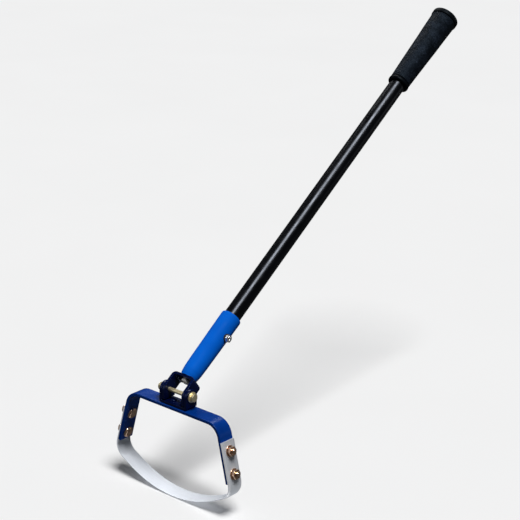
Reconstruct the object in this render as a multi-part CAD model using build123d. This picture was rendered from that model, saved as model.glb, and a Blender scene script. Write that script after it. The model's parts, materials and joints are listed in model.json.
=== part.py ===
from build123d import *
import os
from math import cos, radians, sin, sqrt, tan

# A stirrup hoe: a steel tube handle with a foam grip, a socket that ends in a
# fork, and a bent-bar stirrup that swings on the fork's bolt and carries a blade.
# All lengths are in millimetres.  X is across the tool, +Y points away from the
# working side towards the hands, +Z is up.  The stirrup hangs plumb at rest.
# Sub-parts are built about the centre of the pivot bolt and moved at the end,
# so that the origin is the middle of the grip, where a hand holds the tool.

# ---- fits ---------------------------------------------------------------
SLIP = 0.1              # nuts, plugs and sleeves on their shanks, across the diameter
DRILLED = 0.2           # holes drilled for a screw, across the diameter
BOLT_PLAY = 0.3         # holes and washers for a bolt, across the diameter
STUD_PLAY = 0.4
THROUGH = 80.0          # length of a cutter that goes right through
NEAR = 0.01             # closer than this is touching

# ---- handle -------------------------------------------------------------
LEAN = 53.65            # handle's angle from plumb, degrees
TUBE_D = 25.4
TUBE_WALL = 1.5
TUBE_LOW = 44.0         # tube's ends, measured up the handle from the pivot
TUBE_TOP = 760.0
COLLAR_LOW = 614.5
COLLAR_TOP = 622.0
COLLAR_D = 34.4
COLLAR_ROUND = 3.2
GRIP_TOP = 761.0
GRIP_LOW_D = 33.4
GRIP_TOP_D = 42.4
GRIP_ROLL = 1.0         # how far the foam's lower rim is rolled in
GRIP_ROLL_H = 1.5
GRIP_STRAIGHT = 10.0    # nearly straight end of the foam's taper
CAP_TOP = 770.5
CAP_D = 44.2
CAP_RIM_ROUND = 3.0
CAP_LIP_ROUND = 1.5
CAP_DOME_R = 120.0
CAP_PLUG_LENGTH = 22.0
GRIP_CENTRE = 692.0     # where the hand holds, up the handle

# ---- socket (ferrule) ---------------------------------------------------
FERRULE_LOW = 24.5
FERRULE_TOP = 138.5
FERRULE_TOP_D = 31.4
FERRULE_MID = 52.0      # below this height the nose curves in
FERRULE_MID_D = 29.4
FERRULE_END_D = 24.0
FERRULE_RIM = 3.0       # height of the rounded upper rim
FERRULE_BORE_D = TUBE_D + DRILLED
FERRULE_STEP = 43.0     # floor of the tube's bore
PLUG_D = 18.0
STUD_D = 7.9            # threaded stud that holds the fork
STUD_NUT_H = 3.4
STUD_NUT_AF = 11.1
SCREW_HEIGHT = 104.0    # cross screw, up the handle
SCREW_D = 5.5
SCREW_TIP = 20.0        # how far the screw's point stands from the axis
SCREW_HEAD_AF = 10.0
SCREW_HEAD_H = 4.2
SCREW_FLANGE_D = 11.2
SCREW_FLANGE_H = 1.0
SCREW_DIMPLE_R = 2.6
SCREW_POINT_H = 2.4
SCREW_POINT_R = 0.9
SCREW_WASHER_D = 12.5
SCREW_WASHER_THICK = 1.4
SCREW_WASHER_DEEP = 3.6 # the washer's blank, before the socket's round is cut from it
SCREW_WASHER_GAP = 0.15

# ---- fork (yoke) and pivot ----------------------------------------------
YOKE_WIDTH = 22.0
YOKE_THICK = 4.0
YOKE_HALF_SPAN = 20.5   # outer faces of the ears
YOKE_SHOULDER_R = 6.5
YOKE_FOOT = 12.9        # the ears' square feet end this far below the pivot
YOKE_FOOT_R = 1.5
PIVOT_D = 6.35
PIVOT_AF = 11.1
PIVOT_HEAD_H = 4.4
PIVOT_NUT_H = 7.6
PIVOT_CROWN_H = 2.2     # round crown of the lock nut
PIVOT_CROWN_IN = 1.2    # crown's diameter is this much under the flats
PIVOT_TIP = 0.8         # chamfer on the bolt's end and the nut's crown
PIVOT_WASHER_D = 15.8
PIVOT_END = 1.4         # thread standing out of the nut
INSERT_D = 8.4          # nylon ring in the lock nut
INSERT_H = 1.5
RUNNING_CLEARANCE = 0.05
SIDE_GAP = 0.4          # free gap between faces that turn past each other

# ---- stirrup ------------------------------------------------------------
BAR_TOP = -19.0         # top face of the bar, from the pivot
BAR_THICK = 5.0
BAR_WIDTH = 25.4
BAR_HALF = 86.0         # where the top face would meet the leg's outer face
BAR_BEND_R = 25.0
BAR_EDGE_R = 1.0        # rolled edges of the flat bar
SPLAY = 14.4            # each leg's angle from plumb, degrees
LEG_LENGTH = 86.5
BRACKET_THICK = 4.0
BRACKET_WIDTH = 22.0
BRACKET_INNER = 21.7    # inner faces of the bracket's ears
BRACKET_BEND = 0.8      # inner radius of the bracket's bends
BUSHING_D = 9.0
BUSHING_FLANGE_D = 14.0
BUSHING_FLANGE = 0.8
RIVET_X = 8.5
RIVET_D = 6.0
RIVET_HEAD_D = 10.0
RIVET_HEAD_H = 2.6

# ---- blade --------------------------------------------------------------
BLADE_THICK = 2.2
BLADE_WIDTH = 27.0
TAB_TOP = 26.5          # tab's top edge, down the leg
BLADE_LOW = -158.3      # lowest point, from the pivot
BLADE_ARC_R = 175.0
BLADE_ARC_END = 28.6    # slope of the bottom arc at its ends, degrees
BLADE_CORNER_R = 23.0
BEVEL_DEPTH = 1.3
BEVEL_WIDTH = 3.2
BLADE_BOLTS = (41.5, 75.0)   # distances down the leg
BLADE_BOLT_D = 7.9
BOLT_HEAD_D = 17.0
BOLT_HEAD_H = 4.0
BOLT_END = 3.2          # thread standing out of the nut
NUT_AF = 12.7
NUT_H = 5.2
WASHER_D = 16.5
WASHER_THICK = 1.4
WASHER_RIM = 0.25       # chamfer on a washer's rims

HANDLE = Plane(origin=(0, 0, 0), x_dir=(1, 0, 0), z_dir=(0, sin(radians(LEAN)), cos(radians(LEAN))))
ORIGIN_SHIFT = HANDLE.z_dir * -GRIP_CENTRE


# ---- helpers ------------------------------------------------------------
def along_handle(shape):
    """Place a shape drawn with its Z axis as the handle's axis."""
    return HANDLE.location * shape


def turned(profile):
    """Solid of revolution about Z from (radius, height) points."""
    outline = Polyline(*[(r, 0, z) for r, z in profile], close=True)
    return revolve(make_face(outline), axis=Axis.Z)


def tube(outer_d, inner_d, length):
    """Plain ring standing on the XY plane."""
    ring = Circle(outer_d / 2) - Circle(inner_d / 2)
    return extrude(ring, amount=length)


def rod(diameter, length, tip=0.0):
    """Round bar standing on the XY plane, with its upper edge chamfered."""
    bar = extrude(Circle(diameter / 2), amount=length)
    if tip:
        bar = chamfer(bar.edges().sort_by(Axis.Z)[-1], tip)
    return bar


def hexagon(across_flats, height):
    """Hexagonal prism on the XY plane with both ends' corners turned off."""
    prism = extrude(RegularPolygon(across_flats / 2, 6, major_radius=False), amount=height)
    corner_r = across_flats / sqrt(3)
    cut = (corner_r - across_flats / 2) * 0.95
    disc = chamfer(extrude(Circle(corner_r), amount=height).edges(), length=cut * 0.55, length2=cut)
    return prism & disc


def washer(outer_d, inner_d, thickness):
    """Flat washer with softened rims."""
    ring = tube(outer_d, inner_d, thickness)
    rims = ring.edges().filter_by(GeomType.CIRCLE).group_by(SortBy.RADIUS)[-1]
    return chamfer(rims, WASHER_RIM)


def inset(points, distance):
    """Points of an open path moved sideways to its right-hand side, in XZ."""
    units = [(Vector(*b) - Vector(*a)).normalized() for a, b in zip(points, points[1:])]
    normals = [Vector(u.Z, 0, -u.X) for u in units]
    moved = [Vector(*points[0]) + normals[0] * distance]
    for here, before, after in zip(points[1:-1], normals, normals[1:]):
        mean = (before + after).normalized()
        moved.append(Vector(*here) + mean * (distance / mean.dot(before)))
    moved.append(Vector(*points[-1]) + normals[-1] * distance)
    return moved


def bent_strip(points, radii, thickness, width):
    """Flat bar whose outer face follows points in XZ, centred on Y = 0."""
    inner = inset(points, thickness)
    inner_radii = [r - thickness for r in radii]
    corners = [Vector(*p) for p in points] + inner[::-1]
    radius = [0, *radii, 0, 0, *inner_radii[::-1], 0]
    outline = FilletPolyline(*corners, radius=radius, close=True)
    return extrude(make_face(outline), amount=width / 2, both=True)


def across(shape, x):
    """Turn a shape standing on XY so that its axis runs along +X from x."""
    return Pos(x, 0, 0) * Rot(0, 90, 0) * shape


def mirrored(shape):
    """The same shape on the tool's other side."""
    return mirror(shape, about=Plane.YZ)


# ---- handle parts -------------------------------------------------------
def cross_hole(diameter, height=0.0):
    """Cutter along X, right through the tool at a height."""
    return Pos(0, 0, height) * across(rod(diameter, THROUGH), -THROUGH / 2)


def make_tube():
    body = Pos(0, 0, TUBE_LOW) * tube(TUBE_D, TUBE_D - 2 * TUBE_WALL, TUBE_TOP - TUBE_LOW)
    return body - cross_hole(SCREW_D + DRILLED, SCREW_HEIGHT)


def make_ferrule():
    bore = FERRULE_BORE_D / 2
    nose = PLUG_D / 2
    sides = [
        (nose, FERRULE_LOW),
        (FERRULE_END_D / 2, FERRULE_LOW),
        (FERRULE_END_D / 2 + 1.3, FERRULE_LOW + 5),
        (FERRULE_END_D / 2 + 2.2, FERRULE_LOW + 12),
        (FERRULE_MID_D / 2, FERRULE_MID),
        (FERRULE_TOP_D / 2, FERRULE_TOP - FERRULE_RIM),
        (FERRULE_TOP_D / 2 - 0.3, FERRULE_TOP - 0.8),
        (FERRULE_TOP_D / 2 - 1.2, FERRULE_TOP),
        (bore, FERRULE_TOP),
        (bore, FERRULE_STEP),
        (nose, FERRULE_STEP),
    ]
    return turned(sides) - cross_hole(SCREW_D + DRILLED, SCREW_HEIGHT)


def make_ferrule_plug():
    """Steel plug in the socket's nose, with a stud that goes through the fork."""
    plug = Pos(0, 0, FERRULE_LOW) * rod(PLUG_D - SLIP, FERRULE_STEP - FERRULE_LOW)
    reach = YOKE_THICK + STUD_NUT_H
    return plug + Pos(0, 0, FERRULE_LOW - reach) * rod(STUD_D, reach)


def ferrule_side():
    """Distance from the axis to the socket's wall at the cross screw."""
    part_way = (SCREW_HEIGHT - FERRULE_MID) / (FERRULE_TOP - FERRULE_RIM - FERRULE_MID)
    return (FERRULE_MID_D + part_way * (FERRULE_TOP_D - FERRULE_MID_D)) / 2


def make_ferrule_washer():
    """Washer that sits on the socket's round side."""
    seat = ferrule_side()
    blank = tube(SCREW_WASHER_D, SCREW_D + DRILLED, SCREW_WASHER_DEEP)
    pad = across(blank, seat + SCREW_WASHER_THICK - SCREW_WASHER_DEEP)
    socket = extrude(Circle(seat + SCREW_WASHER_GAP), amount=THROUGH / 2, both=True)
    return Pos(0, 0, SCREW_HEIGHT) * (pad - socket)


def make_ferrule_screw():
    """Hexagon washer-head screw that runs right through the socket."""
    seat = ferrule_side() + SCREW_WASHER_THICK
    head = hexagon(SCREW_HEAD_AF, SCREW_HEAD_H) + rod(SCREW_FLANGE_D, SCREW_FLANGE_H)
    dimple = Pos(0, 0, SCREW_HEAD_H) * Sphere(SCREW_DIMPLE_R)
    length = seat + SCREW_TIP
    shank = Pos(0, 0, SCREW_POINT_H - length) * rod(SCREW_D, length - SCREW_POINT_H)
    on_base = (Align.CENTER, Align.CENTER, Align.MIN)
    point = Pos(0, 0, -length) * Cone(SCREW_POINT_R, SCREW_D / 2, SCREW_POINT_H, align=on_base)
    return Pos(0, 0, SCREW_HEIGHT) * across(head - dimple + shank + point, seat)


def make_grip_collar():
    """Moulded stop ring under the grip."""
    r = COLLAR_D / 2
    bore = (TUBE_D + DRILLED) / 2
    ring = turned([(bore, COLLAR_LOW), (r, COLLAR_LOW), (r, COLLAR_TOP), (bore, COLLAR_TOP)])
    rims = ring.edges().filter_by(GeomType.CIRCLE).group_by(SortBy.RADIUS)[-1]
    return fillet(rims, COLLAR_ROUND)


def make_grip_sleeve():
    """Tapered foam sleeve on the tube."""
    bore = (TUBE_D + DRILLED) / 2
    low = COLLAR_TOP
    swell = GRIP_TOP - GRIP_STRAIGHT
    return turned([
        (bore, low),
        (GRIP_LOW_D / 2 - GRIP_ROLL, low),
        (GRIP_LOW_D / 2, low + GRIP_ROLL_H),
        (GRIP_TOP_D / 2 - 0.2, swell),
        (GRIP_TOP_D / 2, GRIP_TOP),
        (bore, GRIP_TOP),
    ])


def make_grip_end_cap():
    """Domed cap with a lip, and a plug that holds it in the tube."""
    r = CAP_D / 2
    disc = Pos(0, 0, GRIP_TOP) * rod(CAP_D, CAP_TOP - GRIP_TOP)
    disc = fillet(disc.edges().sort_by(Axis.Z)[-1], CAP_RIM_ROUND)
    disc = fillet(disc.edges().sort_by(Axis.Z)[0], CAP_LIP_ROUND)
    dome = Pos(0, 0, CAP_TOP - CAP_DOME_R) * Sphere(CAP_DOME_R)
    plug_d = TUBE_D - 2 * TUBE_WALL - DRILLED
    plug = Pos(0, 0, GRIP_TOP - CAP_PLUG_LENGTH) * rod(plug_d, CAP_PLUG_LENGTH)
    return (disc & dome) + plug


# ---- fork and pivot parts -----------------------------------------------
def make_yoke():
    """Fork: a strip bent to a U, its ears ending in feet square to the bar."""
    path = [
        (-YOKE_HALF_SPAN, 0, 0),
        (-YOKE_HALF_SPAN, 0, FERRULE_LOW),
        (YOKE_HALF_SPAN, 0, FERRULE_LOW),
        (YOKE_HALF_SPAN, 0, 0),
    ]
    strip = bent_strip(path, [YOKE_SHOULDER_R] * 2, YOKE_THICK, YOKE_WIDTH)
    strip -= Pos(0, 0, FERRULE_LOW - YOKE_THICK) * rod(STUD_D + STUD_PLAY, YOKE_THICK)
    fork = along_handle(strip)
    foot = extrude(Rectangle(YOKE_WIDTH, YOKE_FOOT, align=(Align.CENTER, Align.MIN)), amount=YOKE_THICK)
    foot = fillet(foot.edges().filter_by(Axis.Z).group_by(Axis.Y)[-1], YOKE_FOOT_R)
    foot = Plane(origin=(0, 0, 0), x_dir=(0, 1, 0), z_dir=(-1, 0, 0)).location * foot
    ear = Pos(-YOKE_HALF_SPAN + YOKE_THICK, 0, 0) * foot
    ear += across(rod(YOKE_WIDTH, YOKE_THICK), -YOKE_HALF_SPAN)
    fork = fork + ear + mirrored(ear)
    return fork - cross_hole(PIVOT_D + SLIP)


def make_yoke_nut():
    """Thin nut inside the fork, on the plug's stud."""
    seat = FERRULE_LOW - YOKE_THICK
    nut = hexagon(STUD_NUT_AF, STUD_NUT_H) - rod(STUD_D + SLIP, STUD_NUT_H)
    return Pos(0, 0, seat - STUD_NUT_H) * nut


def washer_seat():
    """Distance from the middle to the pivot washers' inner faces."""
    return BRACKET_INNER + BRACKET_THICK + SIDE_GAP


def make_pivot_bolt():
    """Long hexagon bolt across the fork and the bracket."""
    right = washer_seat() + WASHER_THICK
    left = right + PIVOT_NUT_H + PIVOT_END
    shank = across(rod(PIVOT_D, right + left), -left)
    shank = chamfer(shank.edges().sort_by(Axis.X)[0], PIVOT_TIP)
    return shank + across(hexagon(PIVOT_AF, PIVOT_HEAD_H), right)


def make_pivot_washers():
    ring = across(washer(PIVOT_WASHER_D, PIVOT_D + BOLT_PLAY, WASHER_THICK), washer_seat())
    return ring, mirrored(ring)


def make_pivot_nut():
    """Lock nut: a hexagon with a round crown over its nylon ring."""
    hex_h = PIVOT_NUT_H - PIVOT_CROWN_H
    body = hexagon(PIVOT_AF, hex_h) + rod(PIVOT_AF - PIVOT_CROWN_IN, PIVOT_NUT_H, tip=PIVOT_TIP)
    body -= rod(PIVOT_D + SLIP, PIVOT_NUT_H)
    body -= Pos(0, 0, hex_h) * rod(INSERT_D, INSERT_H)
    return mirrored(across(body, washer_seat() + WASHER_THICK))


def make_pivot_nut_insert():
    """Nylon ring inside the lock nut's crown."""
    ring = Pos(0, 0, PIVOT_NUT_H - PIVOT_CROWN_H) * tube(INSERT_D - SLIP, PIVOT_D + SLIP, INSERT_H)
    return mirrored(across(ring, washer_seat() + WASHER_THICK))


# ---- stirrup parts ------------------------------------------------------
def leg_point(side, down, out=0.0):
    """Point on a leg: down from the bar's corner, out from its outer face."""
    b = radians(SPLAY)
    x = BAR_HALF + down * sin(b) + out * cos(b)
    return Vector(side * x, 0, BAR_TOP - down * cos(b) + out * sin(b))


def leg_frame(side, down, out=0.0):
    """Plane on a leg with its normal pointing away from the tool's middle."""
    b = radians(SPLAY)
    return Plane(origin=leg_point(side, down, out), x_dir=(0, 1, 0), z_dir=(side * cos(b), 0, sin(b)))


def on_legs(make, out=0.0):
    """One copy of a fastener at each blade bolt, built along the outward normal."""
    places = [leg_frame(side, down, out) for side in (-1, 1) for down in BLADE_BOLTS]
    return [place.location * make() for place in places]


def make_bracket():
    """Channel on the bar whose ears stand outside the fork's."""
    outer = BRACKET_INNER + BRACKET_THICK
    base_z = BAR_TOP
    path = [(outer, 0, 0), (outer, 0, base_z), (-outer, 0, base_z), (-outer, 0, 0)]
    channel = bent_strip(path, [BRACKET_THICK + BRACKET_BEND] * 2, BRACKET_THICK, BRACKET_WIDTH)
    ear = across(rod(BRACKET_WIDTH, BRACKET_THICK), BRACKET_INNER)
    channel = channel + ear + mirrored(ear)
    channel -= cross_hole(BUSHING_D)
    for x in (-RIVET_X, RIVET_X):
        channel -= Pos(x, 0, base_z) * rod(RIVET_D, BRACKET_THICK)
    return channel


def make_rivets():
    """Round-headed rivets through the bracket and the bar."""
    low = BAR_TOP - BAR_THICK
    high = BAR_TOP + BRACKET_THICK
    rivets = []
    for x in (-RIVET_X, RIVET_X):
        shank = Pos(x, 0, low) * rod(RIVET_D, high - low)
        head = rod(RIVET_HEAD_D, RIVET_HEAD_H)
        head = fillet(head.edges().sort_by(Axis.Z)[-1], RIVET_HEAD_H * 0.8)
        rivets.append(shank + Pos(x, 0, high) * head + Pos(x, 0, low) * Rot(180, 0, 0) * head)
    return rivets


def make_bushings():
    """Flanged bushes in the bracket's ears, which turn on the pivot bolt."""
    bush = across(tube(BUSHING_D, PIVOT_D + 2 * RUNNING_CLEARANCE, BRACKET_THICK), BRACKET_INNER)
    flange = tube(BUSHING_FLANGE_D, PIVOT_D + 2 * RUNNING_CLEARANCE, BUSHING_FLANGE)
    bush += across(flange, BRACKET_INNER - BUSHING_FLANGE)
    return bush, mirrored(bush)


def leg_holes():
    """Cutters for the four blade bolts, through the leg and the tab."""
    reach = BAR_THICK + BLADE_THICK
    return on_legs(lambda: Pos(0, 0, -reach) * rod(BLADE_BOLT_D + BOLT_PLAY, 2 * reach))


def make_stirrup():
    """Flat bar bent to an arch with splayed legs."""
    corner = (BAR_HALF, 0, BAR_TOP)
    end = leg_point(1, LEG_LENGTH)
    path = [(end.X, 0, end.Z), corner, (-BAR_HALF, 0, BAR_TOP), (-end.X, 0, end.Z)]
    bar = bent_strip(path[::-1], [BAR_BEND_R] * 2, BAR_THICK, BAR_WIDTH)
    sides = [e for e in bar.edges() if abs(e.center().Y) > BAR_WIDTH / 2 - NEAR]
    bar = fillet([e for e in sides if e.length > BAR_THICK + NEAR], BAR_EDGE_R)
    for hole in leg_holes():
        bar -= hole
    for x in (-RIVET_X, RIVET_X):
        bar -= Pos(x, 0, BAR_TOP - BAR_THICK) * rod(RIVET_D, BAR_THICK)
    return bar


def blade_path():
    """Outer face of the blade: tab, corner, foot of the arc, corner, tab."""
    slope = radians(BLADE_ARC_END)
    splay = radians(SPLAY)
    apex = Vector(0, 0, BLADE_LOW - BLADE_ARC_R * (1 / cos(slope) - 1))
    top = leg_point(1, TAB_TOP, BLADE_THICK)
    # the corner is where the tab's line meets the arc's end tangent
    rise = (top.Z - apex.Z - top.X * tan(slope)) / (1 + tan(slope) * tan(splay))
    corner = Vector(top.X + rise * tan(splay), 0, top.Z - rise)
    left = [Vector(-p.X, 0, p.Z) for p in (top, corner)]
    return [left[0], left[1], apex, corner, top]


def bevel_cutter():
    """Wedge that runs along the blade's outer face and takes off one long edge."""
    path = FilletPolyline(*blade_path(), radius=[BLADE_CORNER_R, BLADE_ARC_R, BLADE_CORNER_R])
    edge = BLADE_WIDTH / 2
    slope = BEVEL_DEPTH / BEVEL_WIDTH
    start = leg_frame(-1, TAB_TOP, BLADE_THICK)
    section = Plane(origin=start.origin, x_dir=start.x_dir, z_dir=path % 0)
    side = 1 if section.y_dir.dot(start.z_dir) > 0 else -1
    wedge = Polyline(
        (edge + 1, side * -(BEVEL_DEPTH + slope)),
        (edge - BEVEL_WIDTH - 1, side * slope),
        (edge + 1, side * slope),
        close=True,
    )
    return sweep(section * make_face(wedge), path=path)


def make_blade():
    """Hardened strip bent to a shallow arc, with both long edges bevelled."""
    path = [(p.X, 0, p.Z) for p in blade_path()][::-1]
    radii = [BLADE_CORNER_R, BLADE_ARC_R, BLADE_CORNER_R]
    strip = bent_strip(path, radii, BLADE_THICK, BLADE_WIDTH)
    cutter = bevel_cutter()
    strip = strip - cutter - mirror(cutter, about=Plane.XZ)
    for hole in leg_holes():
        strip -= hole
    return strip


def make_blade_bolts():
    """Round-headed bolts from inside the legs."""
    inner = -BAR_THICK
    length = BAR_THICK + BLADE_THICK + WASHER_THICK + NUT_H + BOLT_END

    def bolt():
        head = Rot(180, 0, 0) * rod(BOLT_HEAD_D, BOLT_HEAD_H)
        head = fillet(head.edges().sort_by(Axis.Z)[0], BOLT_HEAD_H * 0.85)
        return Pos(0, 0, inner) * (head + rod(BLADE_BOLT_D, length, tip=1.0))

    return on_legs(bolt)


def make_blade_washers():
    return on_legs(lambda: washer(WASHER_D, BLADE_BOLT_D + BOLT_PLAY, WASHER_THICK), BLADE_THICK)


def make_blade_nuts():
    seat = BLADE_THICK + WASHER_THICK
    return on_legs(lambda: hexagon(NUT_AF, NUT_H) - rod(BLADE_BOLT_D + SLIP, NUT_H), seat)


# ---- assembly -----------------------------------------------------------
HANDLE_NODES = {
    "handle_tube": make_tube,
    "grip_collar": make_grip_collar,
    "grip_sleeve": make_grip_sleeve,
    "grip_end_cap": make_grip_end_cap,
    "ferrule": make_ferrule,
    "ferrule_plug": make_ferrule_plug,
    "ferrule_screw": make_ferrule_screw,
    "ferrule_washer": make_ferrule_washer,
    "yoke_nut": make_yoke_nut,
}
PIVOT_NODES = {
    "yoke": make_yoke,
    "pivot_bolt": make_pivot_bolt,
    "pivot_washers": make_pivot_washers,
    "pivot_nut": make_pivot_nut,
    "pivot_nut_insert": make_pivot_nut_insert,
    "stirrup_bracket": make_bracket,
    "bracket_rivets": make_rivets,
    "pivot_bushings": make_bushings,
    "stirrup_frame": make_stirrup,
    "blade": make_blade,
    "blade_bolts": make_blade_bolts,
    "blade_washers": make_blade_washers,
    "blade_nuts": make_blade_nuts,
}


def write(name, shape):
    """Move a finished sub-part to the grip's origin and write its file."""
    solids = [s for item in (shape if isinstance(shape, (list, tuple)) else [shape]) for s in item.solids()]
    placed = [Pos(*ORIGIN_SHIFT) * s for s in solids]
    whole = placed[0] if len(placed) == 1 else Compound(children=placed)
    export_step(whole, f"parts/{name}.step")


os.makedirs("parts", exist_ok=True)
for node, make in HANDLE_NODES.items():
    write(node, along_handle(make()))
for node, make in PIVOT_NODES.items():
    write(node, make())
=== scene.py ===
"""Stirrup hoe: materials, small detail, floor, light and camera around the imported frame.

Metres, in the row's frame: origin in the middle of the grip, +Z up, +Y towards the user, +X across.
"""

import json
from math import cos, pi, radians, sin, tau

import bpy
from mathutils import Matrix, Vector, noise

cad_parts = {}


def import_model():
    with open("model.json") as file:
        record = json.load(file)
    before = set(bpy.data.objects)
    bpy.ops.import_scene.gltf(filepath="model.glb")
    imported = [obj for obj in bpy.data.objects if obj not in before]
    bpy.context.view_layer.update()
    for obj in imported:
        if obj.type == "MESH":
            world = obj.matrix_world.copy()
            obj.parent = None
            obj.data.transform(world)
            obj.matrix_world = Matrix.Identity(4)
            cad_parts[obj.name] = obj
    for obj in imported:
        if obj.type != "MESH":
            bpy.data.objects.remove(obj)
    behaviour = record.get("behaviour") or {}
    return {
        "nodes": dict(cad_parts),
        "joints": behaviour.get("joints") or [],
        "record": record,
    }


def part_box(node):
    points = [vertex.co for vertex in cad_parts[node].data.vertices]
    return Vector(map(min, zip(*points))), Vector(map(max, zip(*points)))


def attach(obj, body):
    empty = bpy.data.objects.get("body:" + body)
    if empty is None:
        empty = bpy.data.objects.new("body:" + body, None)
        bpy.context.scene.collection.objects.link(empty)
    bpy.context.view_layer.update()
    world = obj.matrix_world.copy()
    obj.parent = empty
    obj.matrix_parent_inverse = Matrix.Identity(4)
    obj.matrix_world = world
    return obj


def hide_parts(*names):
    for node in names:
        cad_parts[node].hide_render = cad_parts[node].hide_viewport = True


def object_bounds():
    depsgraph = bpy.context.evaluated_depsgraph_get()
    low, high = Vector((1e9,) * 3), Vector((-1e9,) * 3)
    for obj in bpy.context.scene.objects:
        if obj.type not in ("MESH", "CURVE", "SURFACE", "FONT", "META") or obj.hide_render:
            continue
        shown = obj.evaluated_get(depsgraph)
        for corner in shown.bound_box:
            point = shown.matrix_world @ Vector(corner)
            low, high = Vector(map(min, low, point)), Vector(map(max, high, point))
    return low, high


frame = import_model()
cad_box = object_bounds()
nodes = frame["nodes"]
hinge = frame["joints"][0]
PIVOT = Vector(hinge["pos_m"])
H = -PIVOT.normalized()             # up the handle, from the pivot to the hand
LEAN = H.angle(Vector((0, 0, 1)))
ALONG = (LEAN, 0, 0)                # turns the row's frame so that Z runs up the handle
FLOOR_Z = cad_box[0].z

SPLAY = radians(14.4)               # each stirrup leg's angle from plumb
BAR_TOP = -0.0190                   # top face of the stirrup's bar, from the pivot
BAR_HALF = 0.0860                   # where that face would meet the leg's outer face
BOLT_ROWS = (0.0415, 0.0750)        # the blade bolts, down the leg
THREAD_START = 0.0087               # just inside the nut's end, out from the leg's outer face
THREAD_R = 0.00393                  # just under the shank's surface
THREAD_LENGTH = 0.0026
THREAD_PITCH = 0.00115

STAGE_R = 32.0                      # the floor's radius, inside every camera's clipping distance
STAGE_SIDES = 96


# ---- node graphs ---------------------------------------------------------
class Graph:
    """A material's nodes. Sockets are set to numbers or linked to other nodes' sockets."""

    def __init__(self, name):
        self.mat = bpy.data.materials.new(name)
        self.mat.use_nodes = True
        self.tree = self.mat.node_tree
        self.tree.nodes.clear()
        self.shader = self.add("ShaderNodeBsdfPrincipled")
        out = self.add("ShaderNodeOutputMaterial")
        self.tree.links.new(self.shader.outputs[0], out.inputs["Surface"])

    def add(self, kind, settings=None, **inputs):
        node = self.tree.nodes.new(kind)
        for key, value in (settings or {}).items():
            setattr(node, key, value)
        self.set(node, **inputs)
        return node

    def set(self, node, **inputs):
        """Sockets by name, with _ for each space, or by place, as i0, i1."""
        for key, value in inputs.items():
            numbered = key[0] == "i" and key[1:].isdigit()
            socket = node.inputs[int(key[1:]) if numbered else key.replace("_", " ")]
            if isinstance(value, bpy.types.NodeSocket):
                self.tree.links.new(value, socket)
            else:
                socket.default_value = value

    def coords(self, rotation=(0, 0, 0), scale=(1, 1, 1)):
        """Object coordinates, turned about X so that Z can run along the handle."""
        place = self.add("ShaderNodeTexCoord").outputs["Object"]
        turned = self.add("ShaderNodeMapping", Vector=place, Rotation=rotation)
        return self.add("ShaderNodeMapping", Vector=turned.outputs[0], Scale=scale).outputs[0]

    def noise(self, vector, scale, detail=3.0, rough=0.55, distortion=0.0):
        node = self.add("ShaderNodeTexNoise", Vector=vector, Scale=scale, Detail=detail,
                        Roughness=rough, Distortion=distortion)
        return node.outputs["Fac"]

    def ramp(self, value, low, high, start=0.0, end=1.0):
        node = self.add("ShaderNodeMapRange", {"clamp": True}, Value=value)
        for name, number in (("From Min", low), ("From Max", high), ("To Min", start), ("To Max", end)):
            node.inputs[name].default_value = number
        return node.outputs[0]

    def math(self, operation, a, b=0.0):
        return self.add("ShaderNodeMath", {"operation": operation}, i0=a, i1=b).outputs[0]

    def mix(self, factor, a, b):
        """Colour a where factor is 0 and b where it is 1, by the Mix node's colour sockets."""
        return self.add("ShaderNodeMix", {"data_type": "RGBA"}, i0=factor, i6=a, i7=b).outputs[2]

    def bump(self, height, distance, strength=1.0, under=None):
        node = self.add("ShaderNodeBump", Height=height, Distance=distance, Strength=strength)
        if under is not None:
            self.set(node, Normal=under)
        return node.outputs[0]

    def soft_edges(self, radius):
        """Shading normal with rounded edges, and a mask that is 1 on those edges."""
        bevel = self.add("ShaderNodeBevel", {"samples": 6}, Radius=radius).outputs[0]
        flat = self.add("ShaderNodeNewGeometry").outputs["Normal"]
        dot = self.add("ShaderNodeVectorMath", {"operation": "DOT_PRODUCT"}, i0=bevel, i1=flat)
        return bevel, self.ramp(dot.outputs["Value"], 0.99, 0.86)

    def finish(self, **inputs):
        self.set(self.shader, **inputs)
        return self.mat


def rgb(r, g, b):
    return (r, g, b, 1.0)


def paint(name, colour, dark, edge_wear_and_glint, tint, rough, gloss, orange_peel, stretch, rotation=ALONG, scuffed=0.10):
    """Sprayed paint: orange peel, faint handling marks and thin paint on the edges, whose lighter colour on
    the fork is a painted highlight on its rims.
    """
    g = Graph(name)
    place = g.coords(rotation)
    cloud = g.noise(place, 28, 2.0)
    body = g.mix(g.ramp(cloud, 0.35, 0.7), rgb(*dark), rgb(*colour))
    normal, edges = g.soft_edges(0.0006)
    # lighter colour on the worn edges; on the fork this is a painted highlight, the lit blue of its rims
    edge_wear_and_glint_mask = g.math("MULTIPLY", edges, g.ramp(g.noise(place, 420, 4.0), 0.5, 0.62))
    body = g.mix(g.math("MULTIPLY", edge_wear_and_glint_mask, 0.55), body, rgb(*edge_wear_and_glint))
    scuff_place = g.coords(rotation, stretch)
    scuffs = g.ramp(g.noise(scuff_place, 900, 5.0, 0.7), 0.62, 0.78)
    smudge = g.noise(place, 60, 4.0)
    roughness = g.math("ADD", g.ramp(smudge, 0.3, 0.75, rough * 0.75, rough * 1.35),
                       g.math("MULTIPLY", scuffs, scuffed))
    peel = g.noise(place, 380, 2.0)
    normal = g.bump(peel, 0.00012, orange_peel, under=normal)
    normal = g.bump(scuffs, 0.00003, 2.5 * scuffed, under=normal)
    return g.finish(Base_Color=body, Roughness=roughness, Normal=normal,
                    Specular_IOR_Level=gloss, Specular_Tint=rgb(*tint))


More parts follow.
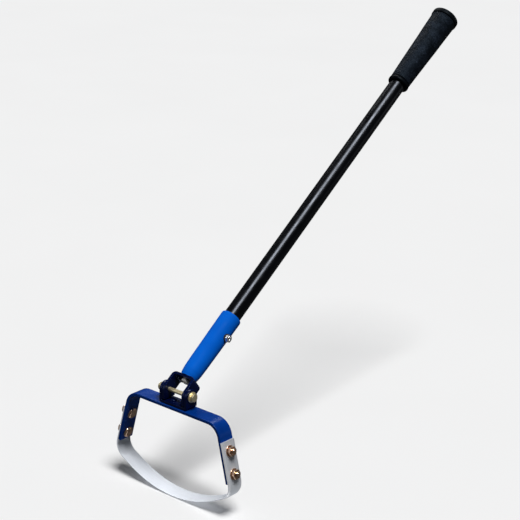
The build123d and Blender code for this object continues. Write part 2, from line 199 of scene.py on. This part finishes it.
def plated(name, colour, dark, rough, rotation=(0, 0, 0), grain=(1, 1, 1), metallic=1.0):
    """Plated metal: cloudy plate, fine grain, darker in the pits."""
    g = Graph(name)
    place = g.coords(rotation)
    grain_place = g.coords(rotation, grain)
    cloud = g.noise(place, 300, 4.0)
    body = g.mix(g.ramp(cloud, 0.25, 0.5), rgb(*dark), rgb(*colour))
    normal, edges = g.soft_edges(0.00035)
    body = g.mix(g.math("MULTIPLY", edges, 0.5), body, rgb(*[min(1.0, c * 1.35) for c in colour]))
    fine = g.noise(grain_place, 1500, 3.0)
    roughness = g.ramp(g.noise(place, 800, 3.0), 0.3, 0.7, rough * 0.75, rough * 1.3)
    normal = g.bump(fine, 0.00001, 0.3, under=normal)
    return g.finish(Base_Color=body, Metallic=metallic, Roughness=roughness, Normal=normal)


def foam():
    """Closed-cell grip foam: pores, a soft bloom and darker handled patches."""
    g = Graph("grip_foam")
    place = g.coords(ALONG)
    cells = g.add("ShaderNodeTexVoronoi", {"feature": "F1"}, Vector=place, Scale=900.0).outputs["Distance"]
    pores = g.ramp(cells, 0.1, 0.55)
    mottle = g.noise(place, 190, 5.0, 0.7)
    fine = g.noise(place, 620, 4.0, 0.65)
    body = g.mix(g.ramp(mottle, 0.3, 0.7), rgb(0.0003, 0.0008, 0.0019), rgb(0.0052, 0.0082, 0.0150))
    body = g.mix(g.ramp(fine, 0.50, 0.70), body, rgb(0.032, 0.043, 0.064))
    handled = g.noise(place, 62, 3.0, 0.6)
    body = g.mix(g.ramp(handled, 0.42, 0.56, 0.0, 0.85), body, rgb(0.0005, 0.0010, 0.0020))
    body = g.mix(g.math("MULTIPLY", g.math("SUBTRACT", 1.0, pores), 0.6), body, rgb(0.004, 0.005, 0.007))
    roughness = g.ramp(mottle, 0.35, 0.65, 0.40, 0.72)
    normal = g.bump(pores, 0.00022, 0.6)
    normal = g.bump(fine, 0.0002, 0.5, under=normal)
    normal = g.bump(mottle, 0.0016, 0.7, under=normal)
    return g.finish(Base_Color=body, Roughness=roughness, Normal=normal,
                    Specular_IOR_Level=0.13, Specular_Tint=rgb(0.5, 0.72, 1.0))


def moulded_rubber():
    """Smooth moulded rubber of the end cap and the stop ring, with a fine mould grain."""
    g = Graph("grip_trim")
    place = g.coords(ALONG)
    grain = g.noise(place, 1300, 3.0)
    smudge = g.noise(place, 90, 4.0)
    body = g.mix(g.ramp(smudge, 0.3, 0.7), rgb(0.0009, 0.0014, 0.0022), rgb(0.0022, 0.0032, 0.0048))
    normal, edges = g.soft_edges(0.0006)
    body = g.mix(g.math("MULTIPLY", edges, 0.25), body, rgb(0.010, 0.013, 0.018))
    rings = g.add("ShaderNodeTexWave", {"wave_type": "RINGS", "rings_direction": "Z"}, Vector=place,
                  Scale=160.0, Distortion=0.3).outputs["Fac"]
    normal = g.bump(grain, 0.00008, 0.5, under=normal)
    normal = g.bump(rings, 0.00006, 0.12, under=normal)
    return g.finish(Base_Color=body, Roughness=g.ramp(smudge, 0.3, 0.75, 0.40, 0.54), Normal=normal,
                    Specular_IOR_Level=0.06, Specular_Tint=rgb(0.7, 0.85, 1.0))


def blade_steel():
    """Rolled strip steel: brushed along its length, ground bevels, stains and a few scratches."""
    g = Graph("blade_steel")
    place = g.coords()
    brushed = g.coords(scale=(0.05, 5.0, 0.05))
    lines = g.noise(brushed, 260, 6.0, 0.75)
    fine = g.noise(brushed, 1100, 3.0, 0.8)
    stain = g.noise(place, 34, 5.0, 0.6, 0.6)
    body = g.mix(g.ramp(lines, 0.35, 0.65), rgb(0.535, 0.565, 0.61), rgb(0.62, 0.65, 0.70))
    body = g.mix(g.ramp(stain, 0.58, 0.75, 0.0, 0.35), body, rgb(0.42, 0.425, 0.43))
    facing = g.add("ShaderNodeTexCoord").outputs["Normal"]
    side = g.math("ABSOLUTE", g.add("ShaderNodeSeparateXYZ", Vector=facing).outputs["Y"])
    bevel = g.math("MULTIPLY", g.ramp(side, 0.15, 0.30), g.ramp(side, 0.80, 0.65))
    ground = g.noise(g.coords(scale=(8.0, 0.3, 8.0)), 300, 4.0, 0.7)
    shine = g.mix(g.ramp(ground, 0.35, 0.65), rgb(0.60, 0.62, 0.66), rgb(0.72, 0.74, 0.78))
    body = g.mix(bevel, body, shine)
    scratches = g.ramp(g.noise(g.coords((0, 0.5, 0.9), (0.25, 7.0, 1.0)), 340, 2.0, 0.5), 0.70, 0.74)
    body = g.mix(g.math("MULTIPLY", scratches, 0.5), body, rgb(0.70, 0.72, 0.76))
    normal, _ = g.soft_edges(0.0004)
    normal = g.bump(lines, 0.00006, 0.35, under=normal)
    normal = g.bump(fine, 0.00003, 0.35, under=normal)
    roughness = g.math("SUBTRACT", g.ramp(stain, 0.3, 0.8, 0.44, 0.62), g.math("MULTIPLY", bevel, 0.08))
    return g.finish(Base_Color=body, Metallic=0.24, Roughness=roughness, Anisotropic=0.35, Normal=normal)


def plain_plastic(name, colour, rough):
    """Moulded plastic: a faint cloudiness and a fine grain."""
    g = Graph(name)
    place = g.coords()
    cloud = g.noise(place, 500, 3.0)
    body = g.mix(cloud, rgb(*[c * 0.85 for c in colour]), rgb(*colour))
    normal = g.bump(g.noise(place, 1800, 2.0), 0.00004, 0.4)
    roughness = g.ramp(cloud, 0.3, 0.7, rough * 0.9, rough * 1.1)
    return g.finish(Base_Color=body, Roughness=roughness, Normal=normal)


LOOKS = {
    "tube_black": paint("tube_black", (0.0010, 0.0011, 0.0018), (0.0005, 0.0006, 0.0010),
                        edge_wear_and_glint=(0.05, 0.05, 0.055), tint=(0.80, 0.87, 1.0),
                        rough=0.27, gloss=0.30, orange_peel=0.05, stretch=(3.0, 3.0, 0.12), scuffed=0.03),
    "grip_foam": foam(),
    "grip_trim": moulded_rubber(),
    "socket_blue": paint("socket_blue", (0.0010, 0.116, 0.61), (0.0008, 0.098, 0.54),
                         edge_wear_and_glint=(0.02, 0.20, 0.72), tint=(0.4, 0.8, 1.0),
                         rough=0.55, gloss=0.05, orange_peel=0.25, stretch=(3.0, 3.0, 0.15)),
    "plug_steel": plated("plug_steel", (0.84, 0.85, 0.86), (0.66, 0.67, 0.68), 0.38,
                         ALONG, metallic=0.2),
    "screw_chrome": plated("screw_chrome", (0.92, 0.93, 0.95), (0.74, 0.75, 0.78), 0.12,
                           ALONG, metallic=0.85),
    "seal_dark": plain_plastic("seal_dark", (0.016, 0.017, 0.02), 0.55),
    # the fork's lighter edge colour is a painted highlight on its rims, laid over the worn edges
    "fork_navy": paint("fork_navy", (0.0008, 0.0048, 0.045), (0.0004, 0.0018, 0.020),
                       edge_wear_and_glint=(0.012, 0.03, 0.22), tint=(0.45, 0.6, 1.0),
                       rough=0.20, gloss=0.30, orange_peel=0.20, stretch=(3.0, 3.0, 0.3)),
    "pivot_zinc": plated("pivot_zinc", (0.92, 0.80, 0.50), (0.66, 0.55, 0.32), 0.36,
                         grain=(0.2, 3, 3), metallic=0.8),
    "nylon": plain_plastic("nylon", (0.72, 0.72, 0.68), 0.45),
    "bushing": plated("bushing", (0.55, 0.41, 0.20), (0.38, 0.27, 0.12), 0.34),
    "stirrup_blue": paint("stirrup_blue", (0.0006, 0.036, 0.24), (0.0004, 0.026, 0.185),
                          edge_wear_and_glint=(0.006, 0.08, 0.40), tint=(0.45, 0.75, 1.0),
                          rough=0.24, gloss=0.20, orange_peel=0.12, stretch=(0.15, 3.0, 3.0),
                          rotation=(0, 0, 0)),
    "blade_steel": blade_steel(),
    "bolt_copper": plated("bolt_copper", (0.92, 0.62, 0.44), (0.32, 0.17, 0.11), 0.20),
}
for part in frame["record"]["subparts"]:
    mesh = nodes[part["node"]].data
    mesh.materials.clear()
    mesh.materials.append(LOOKS[part["material_slot"]])


# ---- detail pieces -------------------------------------------------------
def piece(name, verts, faces, body, slot):
    """A smooth-shaded mesh piece that rides on a CAD body."""
    mesh = bpy.data.meshes.new(name)
    mesh.from_pydata([tuple(v) for v in verts], [], faces)
    mesh.validate()
    mesh.shade_smooth()
    mesh.materials.append(LOOKS[slot])
    obj = bpy.data.objects.new(name, mesh)
    bpy.context.scene.collection.objects.link(obj)
    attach(obj, body)
    return obj


def basis(origin, axis):
    """Matrix whose Z runs along axis from origin."""
    return Matrix.Translation(origin) @ Vector(axis).to_track_quat("Z", "X").to_matrix().to_4x4()


def lathe(name, profile, place, body, slot, turns, wobble):
    """Closed ring from a section of (radius, height) points, each moved outwards by wobble(point)."""
    verts = []
    for r, z in profile:
        for k in range(turns):
            a = tau * k / turns
            p = Vector((r * cos(a), r * sin(a), z))
            verts.append(place @ (p + Vector((cos(a), sin(a), 0)) * wobble(p)))
    rings = len(profile)
    faces = []
    for i in range(rings):
        here, above = i * turns, (i + 1) % rings * turns
        for k in range(turns):
            after = (k + 1) % turns
            faces.append((here + k, here + after, above + after, above + k))
    return piece(name, verts, faces, body, slot)


def thread(name, origin, axis, radius, length, pitch, body, slot):
    """Raised helical thread round a plain shank, which fades in and out at its ends."""
    steps = 28                      # to a turn
    fade_steps = 10
    count = int(length / pitch * steps)
    place = basis(origin, axis)
    root, crest = -0.00012, pitch * 0.28
    section = ((-0.42, root), (-0.06, crest), (0.06, crest), (0.42, root))     # pitches along, metres out
    verts = []
    for i in range(count + 1):
        a = tau * i / steps
        fade = max(0.05, min(1.0, i / fade_steps, (count - i) / fade_steps))
        for along, out in section:
            r = radius + (out if out < 0 else out * fade)
            verts.append(place @ Vector((r * cos(a), r * sin(a), pitch * (i / steps + along * fade))))
    faces = [(0, 1, 2, 3), tuple(4 * count + j for j in (3, 2, 1, 0))]
    for i in range(count):
        for j in range(4):
            a, b = i * 4 + j, i * 4 + (j + 1) % 4
            faces.append((a, a + 4, b + 4, b))
    piece(name, verts, faces, body, slot)


def grip():
    """The foam sleeve: a slightly uneven taper, rolled in at both ends where it is pressed home."""
    low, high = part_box("grip_sleeve")
    bottom, top = -0.0700, 0.0690
    r_low, r_high = 0.0167, (high.x - low.x) / 2
    bore = 0.0129
    roll_low, roll_high = 0.0016, 0.0012        # radii of the rolled ends
    taper_steps, roll_steps = 110, 8
    quarter = [pi / 2 * k / roll_steps for k in range(roll_steps + 1)]
    taper_length = top - bottom - roll_low - roll_high

    profile = [(bore, bottom)]
    for a in quarter:
        profile.append((r_low - roll_low * (1 - sin(a)), bottom + roll_low * (1 - cos(a))))
    for k in range(1, taper_steps):
        t = k / taper_steps
        profile.append((r_low + (r_high - r_low) * t, bottom + roll_low + taper_length * t))
    for a in quarter:
        profile.append((r_high - roll_high * (1 - cos(a)), top - roll_high * (1 - sin(a))))
    profile.append((bore, top))

    def wobble(p):
        """Broad and fine waves in the foam's outside, set in 0.2 mm; the bore stays round."""
        if p.xy.length < bore + 0.001:
            return 0.0
        broad = noise.noise(Vector((p.x, p.y, p.z * 0.6)) * 55) * 0.00022
        fine = noise.noise(p * 420) * 0.00006
        return broad + fine - 0.0002

    place = basis(Vector((0, 0, 0)), H)
    obj = lathe("foam_grip", profile, place, "handle", "grip_foam", turns=144, wobble=wobble)
    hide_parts("grip_sleeve")


def leg_spot(side, down, out):
    """A point down a leg and out from its outer face, and the leg's outward direction."""
    outward = Vector((side * cos(SPLAY), 0, sin(SPLAY)))
    x = BAR_HALF + down * sin(SPLAY)
    z = BAR_TOP - down * cos(SPLAY)
    return PIVOT + Vector((side * x, 0, z)) + outward * out, outward


def threads():
    """Turns of thread that show on the bolts' free ends."""
    for side, hand in ((1, "right"), (-1, "left")):
        for row, down in enumerate(BOLT_ROWS):
            spot, outward = leg_spot(side, down, THREAD_START)
            thread(f"bolt_thread_{hand}_{row + 1}", spot, outward,
                   THREAD_R, THREAD_LENGTH, THREAD_PITCH, "head", "bolt_copper")


grip()
threads()


# ---- floor, light, camera ------------------------------------------------
OBJECT_ONLY = bpy.data.collections.new("object_only")   # what the softboxes light
BLADE_ONLY = bpy.data.collections.new("blade_only")     # what the blade's own two lights reach
BLADE_ONLY.objects.link(nodes["blade"])


def stage_ring(z):
    """The stage's round edge at a height, as points."""
    angles = [tau * k / STAGE_SIDES for k in range(STAGE_SIDES)]
    return [(STAGE_R * cos(a), STAGE_R * sin(a), z) for a in angles]


def stage_piece(name, verts, faces, mat):
    """A stage mesh, seen by the camera only, that casts no shadow and lets the bounce light through."""
    mesh = bpy.data.meshes.new(name)
    mesh.from_pydata(verts, [], faces)
    mesh.materials.append(mat)
    obj = bpy.data.objects.new(name, mesh)
    bpy.context.scene.collection.objects.link(obj)
    obj.visible_glossy = obj.visible_diffuse = obj.visible_shadow = False
    return obj


def floor():
    """Pale paper under the tool. The sun lights it and the softboxes don't."""
    g = Graph("floor_paper")
    place = g.coords()
    tone = g.noise(place, 3.0, 2.0)
    body = g.mix(tone, rgb(0.86, 0.86, 0.86), rgb(0.885, 0.885, 0.885))
    mat = g.finish(Base_Color=body, Specular_IOR_Level=0.1, Roughness=0.9)
    obj = stage_piece("floor", stage_ring(FLOOR_Z), [tuple(range(STAGE_SIDES))], mat)
    OBJECT_ONLY.objects.link(obj)
    OBJECT_ONLY.collection_objects[0].light_linking.link_state = "EXCLUDE"


def backdrop():
    """Pale wall round the floor, as bright as the floor, seen by the camera only."""
    g = Graph("backdrop_paper")
    mat = g.finish(Base_Color=rgb(0, 0, 0), Specular_IOR_Level=0.0,
                   Emission_Color=rgb(0.866, 0.868, 0.872), Emission_Strength=1.0)
    mat.cycles.emission_sampling = "NONE"
    faces = []
    for k in range(STAGE_SIDES):
        after = (k + 1) % STAGE_SIDES
        faces.append((k, after, after + STAGE_SIDES, k + STAGE_SIDES))
    stage_piece("backdrop", stage_ring(FLOOR_Z) + stage_ring(FLOOR_Z + STAGE_R), faces, mat)


def sun(toward, strength, angle):
    """Distant light, angle degrees wide, which lights the whole floor evenly and softly."""
    light = bpy.data.lights.new("sky_window", "SUN")
    light.energy = strength
    light.angle = radians(angle)
    obj = bpy.data.objects.new("sky_window", light)
    bpy.context.scene.collection.objects.link(obj)
    obj.matrix_world = Vector(toward).to_track_quat("Z", "Y").to_matrix().to_4x4()


def softbox(name, toward, distance, size, power, lit=OBJECT_ONLY):
    """Rectangular area light that faces the object from a direction and leaves the floor unlit."""
    light = bpy.data.lights.new(name, "AREA")
    light.shape = "RECTANGLE"
    light.size, light.size_y = size
    light.energy = power
    obj = bpy.data.objects.new(name, light)
    obj.visible_camera = False
    bpy.context.scene.collection.objects.link(obj)
    back = Vector(toward).normalized()
    side = Vector((0, 0, 1)).cross(back).normalized()
    turn = Matrix((side, back.cross(side), back)).transposed().to_4x4()
    obj.matrix_world = Matrix.Translation(PIVOT * 0.5 + back * distance) @ turn
    obj.light_linking.receiver_collection = lit


def world():
    """A dim, slightly cool fill from all round."""
    w = bpy.data.worlds.new("studio")
    bpy.context.scene.world = w
    w.use_nodes = True
    back = w.node_tree.nodes["Background"]
    back.inputs["Color"].default_value = rgb(0.93, 0.96, 1.0)
    back.inputs["Strength"].default_value = 0.07


def camera():
    """The photograph's view: long lens, the tool's head low on the left, the grip top right."""
    az, el, roll = radians(39.86), radians(18.75), radians(1.51)
    back = Vector((sin(az) * cos(el), -cos(az) * cos(el), sin(el)))
    right = Vector((cos(az), sin(az), 0))
    up = back.cross(right)
    right, up = right * cos(roll) + up * sin(roll), up * cos(roll) - right * sin(roll)
    data = bpy.data.cameras.new("camera")
    data.sensor_width = 36.0
    data.lens = 106.92
    data.clip_end = 100             # past the backdrop
    obj = bpy.data.objects.new("camera", data)
    bpy.context.scene.collection.objects.link(obj)
    across, above, away = 0.1151, 0.1855, 2.1695
    spot = PIVOT + right * across + up * above + back * away
    obj.matrix_world = Matrix.Translation(spot) @ Matrix((right, up, back)).transposed().to_4x4()
    bpy.context.scene.camera = obj


floor()
backdrop()
world()
sun(toward=(0.327, -0.141, 0.934), strength=3.2, angle=24)
softbox("wall_back_left", toward=(-0.50, 0.55, 0.70), distance=5.0, size=(3.6, 2.2), power=96)
softbox("key_left", toward=(-0.76, -0.62, 0.20), distance=4.0, size=(2.0, 2.4), power=17)
softbox("card_back_right", toward=(0.64, 0.77, 0.02), distance=5.0, size=(1.9, 1.2), power=3.2)
softbox("card_blade", toward=(-0.60, -0.60, 0.53), distance=3.0, size=(0.8, 0.8), power=70,
        lit=BLADE_ONLY)
softbox("ground_bounce", toward=(0.30, -0.20, -0.93), distance=3.0, size=(0.8, 0.8), power=56,
        lit=BLADE_ONLY)
camera()
bpy.context.scene.view_settings.view_transform = "Standard"
